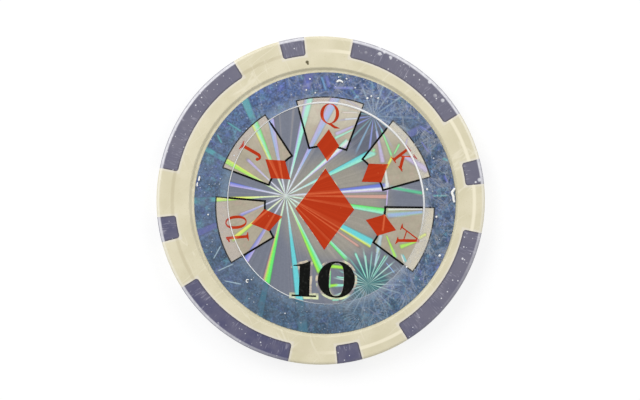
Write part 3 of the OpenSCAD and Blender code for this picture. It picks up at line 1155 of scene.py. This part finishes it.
def cover_mesh():
    """Clear ring with a sloping, slightly uneven inner edge, as vertices and faces."""
    around = 240
    round_edge, slope = 0.03 * MM, 0.12 * MM
    vertices, faces = [], []
    bottom, top = LABEL_T, LABEL_T + COVER_T
    profile = ((0.0, bottom, 0), (0.0, bottom + 0.3 * COVER_T, 0), (slope, top, 0), (round_edge, top, 1),
               (0.0, top - round_edge, 1), (0.0, bottom, 1))
    for inset, height, outside in profile:
        for i in range(around):
            a = math.tau * i / around
            uneven = 0.05 * MM * noise.noise(Vector((3 * math.cos(a), 3 * math.sin(a), 2.0)))
            if outside:
                x = (LABEL_R - inset) * math.cos(a) - PRINT_SLIP[0] * MM
                y = (LABEL_R - inset) * math.sin(a) - PRINT_SLIP[1] * MM
            else:
                across = (CLEAR_HALF[0] * MM + uneven + inset) * math.cos(a)
                along = (CLEAR_HALF[1] * MM + uneven + inset) * math.sin(a)
                x = CLEAR_CENTRE[0] * MM + across * math.cos(CLEAR_TURN) - along * math.sin(CLEAR_TURN)
                y = CLEAR_CENTRE[1] * MM + across * math.sin(CLEAR_TURN) + along * math.cos(CLEAR_TURN)
            vertices.append((x, y, height))
    levels = len(profile)
    for level in range(levels):
        above = (level + 1) % levels
        for i in range(around):
            j = (i + 1) % around
            faces.append((level * around + i, above * around + i, above * around + j, level * around + j))
    return vertices, faces


def label_places():
    """Where each face's label lies: label coordinates to the chip's frame."""
    places = {}
    for side, over in (("front", 0.0), ("back", math.pi)):
        low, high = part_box(side + "_label")
        middle = (low + high) / 2
        middle.z = low.z if side == "front" else high.z
        turn = Matrix.Rotation(over, 4, "Y") @ Matrix.Rotation(LABEL_TURN, 4, "Z")
        slip = Matrix.Translation((PRINT_SLIP[0] * MM, PRINT_SLIP[1] * MM, 0.0))
        places[side] = Matrix.Translation(middle) @ turn @ slip
    return places


def dress_label(side, place):
    """All the pieces of one face's label."""
    angles = [card[1] for card in CARDS]
    cards = [card_outline(angle) for angle in angles]
    lines = [line for angle in angles for line in card_lines(angle)]
    pips = []
    for _, angle, _, _, (shift_x, shift_y) in CARDS:
        a = math.radians(angle)
        x = PRINT_CENTRE[0] + CARD_RADII[0] * math.cos(a) + shift_x
        y = PRINT_CENTRE[1] + CARD_RADII[0] * math.sin(a) + shift_y
        pips.append(diamond(*PIP_HALF, angle - 90, (x, y)))
    middle = diamond(*DIAMOND_HALF, DIAMOND_TURN, DIAMOND_CENTRE)
    grown = [half + more for half, more in zip(DIAMOND_HALF, DIAMOND_BORDER)]
    border = diamond(*grown, DIAMOND_TURN, DIAMOND_CENTRE)
    # Printed pieces: name, solid and hole outlines, layer above the foil, and finish
    printed = (
        ("cards", cards, [], 1, "card"),
        ("card_lines", lines, [], 2, "black"),
        ("ranks", *rank_outlines(), 2, "red"),
        ("pips", pips, [], 3, "red"),
        ("diamond_border", [border], [], 1, "halo"),
        ("diamond", [middle], [], 2, "red"),
        ("number_border", *number_outlines(HALO, HALO / 4), 1, "halo"),
        ("number", *number_outlines(0.0, 0.0), 3, "black"),
    )
    foil = object_from(side + "_foil", *foil_mesh(), materials["foil"], place)
    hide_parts(side + "_label")
    cover = object_from(side + "_clear_ring", *cover_mesh(), materials["cover"], place)
    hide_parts(side + "_cover_ring")
    pieces = [foil, cover]
    for name, solids, holes, layer, look in printed:
        mesh = flat_solid(solids, holes, FOIL_TOP - PRINT_STEP, FOIL_TOP + PRINT_STEP * layer)
        pieces.append(object_from(f"{side}_{name}", *mesh, materials[look], place))
    for piece in pieces:
        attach(piece, BODY)


def dress_cad():
    """Finishes of the CAD pieces that stay."""
    looks = {"body": "cream", "spot_ring": "purple", "steel_slug": "steel",
             "front_adhesive": "adhesive", "back_adhesive": "adhesive"}
    for node, look in looks.items():
        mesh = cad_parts[node].data
        mesh.materials.clear()
        mesh.materials.append(materials[look])


# Floor: its colour for the light that it throws back, its colour as seen, and the glow that makes it white
FLOOR_PLAIN = (0.8, 0.8, 0.8, 1.0)
FLOOR_SEEN = (0.22, 0.22, 0.22, 1.0)
FLOOR_GLOW = 0.8


def floor_material():
    """Pale floor that looks white and keeps a faint shadow."""
    material = bpy.data.materials.new("floor")
    material.use_nodes = True
    g = Graph(material.node_tree)
    g.tree.nodes.clear()
    path = g.add("ShaderNodeLightPath").outputs
    seen = g.most(path["Is Camera Ray"], path["Is Glossy Ray"], path["Is Transmission Ray"])
    plain = g.add("ShaderNodeBsdfDiffuse", FLOOR_PLAIN).outputs[0]
    shadowed = g.add("ShaderNodeBsdfDiffuse", FLOOR_SEEN).outputs[0]
    white = g.fill(g.add("ShaderNodeEmission"), Strength=FLOOR_GLOW)[0]
    both = g.add("ShaderNodeAddShader", shadowed, white).outputs[0]
    choice = g.add("ShaderNodeMixShader", seen, plain, both).outputs[0]
    g.add("ShaderNodeOutputMaterial", choice)
    return material


def smooth_path(points, steps):
    """Points along a smooth line through the given points."""
    padded = [points[0]] + list(points) + [points[-1]]
    path = []
    for before, a, b, after in zip(padded, padded[1:], padded[2:], padded[3:]):
        for i in range(steps):
            t = i / steps
            path.append(tuple(
                0.5 * (2 * p1 + (p2 - p0) * t + (2 * p0 - 5 * p1 + 4 * p2 - p3) * t ** 2
                       + (3 * p1 - p0 - 3 * p2 + p3) * t ** 3)
                for p0, p1, p2, p3 in zip(before, a, b, after)))
    path.append(tuple(points[-1]))
    return path


def bead_mesh(points, half_width, half_height, base):
    """A flat bead along points in millimetres, round at its ends, its middle at height base in metres."""
    path = smooth_path(points, 8)
    around, last = 12, len(path) - 1
    vertices, faces = [], []
    for i, (x, y) in enumerate(path):
        before, after = Vector(path[max(i - 1, 0)]), Vector(path[min(i + 1, last)])
        along = (after - before).normalized()
        end = min(i, last - i) / 4
        swell = math.sqrt(max(1 - (1 - min(end, 1)) ** 2, 0.04))
        swell *= 1 + 0.25 * noise.noise(Vector((x, y, 0)) * 2.5)
        for k in range(around):
            a = math.tau * k / around
            side = half_width * swell * math.cos(a)
            up = half_height * swell * math.sin(a)
            vertices.append(((x - along.y * side) * MM, (y + along.x * side) * MM, base + up * MM))
    for i in range(last):
        faces += band(i * around, (i + 1) * around, around)
    faces.append(tuple(range(around)))
    faces.append(tuple(range((last + 1) * around - 1, last * around - 1, -1)))
    return vertices, faces


def dust_mesh(base):
    """Low grains of dust at the places in DUST, on a surface at the height base in metres."""
    around, height, sunk = 10, 0.035 * MM, 0.01 * MM
    vertices, faces = [], []
    for x, y, radius in DUST:
        first = len(vertices)
        for level, share in ((-sunk, 1.0), (0.6 * height, 0.8)):
            for k in range(around):
                a = math.tau * k / around
                c, s = math.cos(a), math.sin(a)
                reach = 0.85 * radius * share * (1 + 0.3 * noise.noise(Vector((x + c, y + s, 0.0))))
                vertices.append(((x + reach * c) * MM, (y + reach * s) * MM, base + level))
        vertices.append((x * MM, y * MM, base + height))
        for k in range(around):
            j = (k + 1) % around
            faces.append((first + k, first + j, first + around + j, first + around + k))
            faces.append((first + around + k, first + around + j, first + 2 * around))
        faces.append(tuple(range(first + around - 1, first - 1, -1)))
    return vertices, faces


def dress_wear():
    """Marks of use on the front: glue at the label's edge, flakes stuck to the clear ring, and dust."""
    marks = {}
    for name, points, half_width, half_height in BEADS:
        marks[name] = bead_mesh(points, half_width, half_height, cover_high.z)
    marks["dust"] = dust_mesh(cover_high.z)
    for name, mesh in marks.items():
        mark = object_from("front_" + name, *mesh, materials["glue"], smooth=True)
        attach(mark, BODY)


# Beads on the front: name, path in millimetres from the chip's axis, half width and half height
BEADS = (
    ("glue_right",
     ((16.35, 1.5), (16.1, 1.2), (15.97, 0.92), (16.12, 0.49), (16.17, 0.04), (16.28, -0.22)),
     0.14, 0.04),
    ("glue_left", ((-14.7, 2.95), (-14.78, 2.65), (-14.82, 2.38)), 0.1, 0.04),
    ("glue_left_low", ((-14.94, 2.2), (-15.02, 1.95), (-15.0, 1.72)), 0.09, 0.04),
    ("flake_top", ((1.94, 14.4), (2.2, 14.58), (2.5, 14.52), (2.72, 14.36)), 0.11, 0.03),
    ("bubble",
     ((-8.76, -9.68), (-8.88, -9.6), (-9.03, -9.68), (-9.05, -9.85), (-8.93, -9.94), (-8.8, -9.88)),
     0.06, 0.03),
)
# Grains of dust on the clear ring: place in millimetres from the chip's axis and radius
DUST = (
    (-1.31, 14.77, 0.13), (2.2, 15.0, 0.11), (3.15, 14.8, 0.12), (-1.75, 13.45, 0.13), (-0.66, 13.1, 0.12),
    (5.66, 12.44, 0.16), (6.14, 12.68, 0.14), (6.99, 12.44, 0.13), (-13.69, -1.71, 0.12), (-8.4, -9.63, 0.1),
    (12.95, 1.37, 0.16), (14.07, -1.99, 0.15), (14.47, -6.69, 0.18), (10.45, -8.08, 0.14),
)


def build_floor():
    """Floor just under the chip."""
    half = 2.0
    below = chip_low.z - 0.02 * MM
    corners = [(-half, -half, below), (half, -half, below), (half, half, below), (-half, half, below)]
    object_from("floor", corners, [(0, 1, 2, 3)], floor_material())


# Distance of the lamps from the chip, in metres
LAMP_DISTANCE = 0.5
# Lamps: name, direction, size in metres and power in watts
LAMPS = (("key", (-0.5, 0.5, 0.82), 0.26, 1.26), ("fill", (0.55, 0.5, 0.8), 0.22, 0.56))


def build_light():
    """Soft light from the upper left and upper right, in a pale room that is darker right overhead."""
    world = bpy.data.worlds.new("room")
    bpy.context.scene.world = world
    world.use_nodes = True
    g = Graph(world.node_tree)
    room = world.node_tree.nodes["Background"]
    room.inputs["Color"].default_value = (0.98, 0.985, 1.0, 1.0)
    up = g.split(g.add("ShaderNodeTexCoord").outputs["Generated"])[2]
    g.feed(room.inputs["Strength"], g.blend(g.step(up, 0.8, 0.96), 0.62, 0.15))
    for name, way, size, watts in LAMPS:
        light = bpy.data.lights.new(name, "AREA")
        light.size = size
        light.energy = watts
        lamp = bpy.data.objects.new(name, light)
        lamp.location = Vector(way).normalized() * LAMP_DISTANCE
        lamp.rotation_euler = Vector(way).to_track_quat("Z", "Y").to_euler()
        bpy.context.scene.collection.objects.link(lamp)


def build_camera():
    """Camera straight above the chip, with +Y up in the picture."""
    pixels_per_mm = 8.228
    image_width = 640
    lens = bpy.data.cameras.new("camera")
    lens.lens = 85
    lens.sensor_width = 36
    lens.clip_start = 0.01
    camera = bpy.data.objects.new("camera", lens)
    distance = lens.lens * image_width / (lens.sensor_width * pixels_per_mm) * MM
    off_x, off_y = 0.7, 0.5
    camera.location = (-off_x / pixels_per_mm * MM, off_y / pixels_per_mm * MM, chip_high.z + distance)
    bpy.context.scene.collection.objects.link(camera)
    bpy.context.scene.camera = camera


starburst = starburst_group()
materials = {
    "foil": foil_material(),
    "card": card_material(),
    "red": red_material(),
    "black": black_material(),
    "halo": halo_material(),
    "cover": cover_material(),
    "cream": cream_material(),
    "purple": purple_material(),
    "steel": steel_material(),
    "adhesive": film_material("adhesive", (0.8, 3.0), ((226, 220, 198), (240, 236, 220)), 3.0, (0.2, 0.4)),
    "glue": film_material("glue", (2.0, 2.0), ((236, 236, 230), (250, 250, 247)), 4.0, (0.12, 0.3)),
}
dress_cad()
for label_side, label_place in label_places().items():
    dress_label(label_side, label_place)
dress_wear()
build_floor()
build_light()
build_camera()
bpy.context.scene.view_settings.view_transform = "Standard"
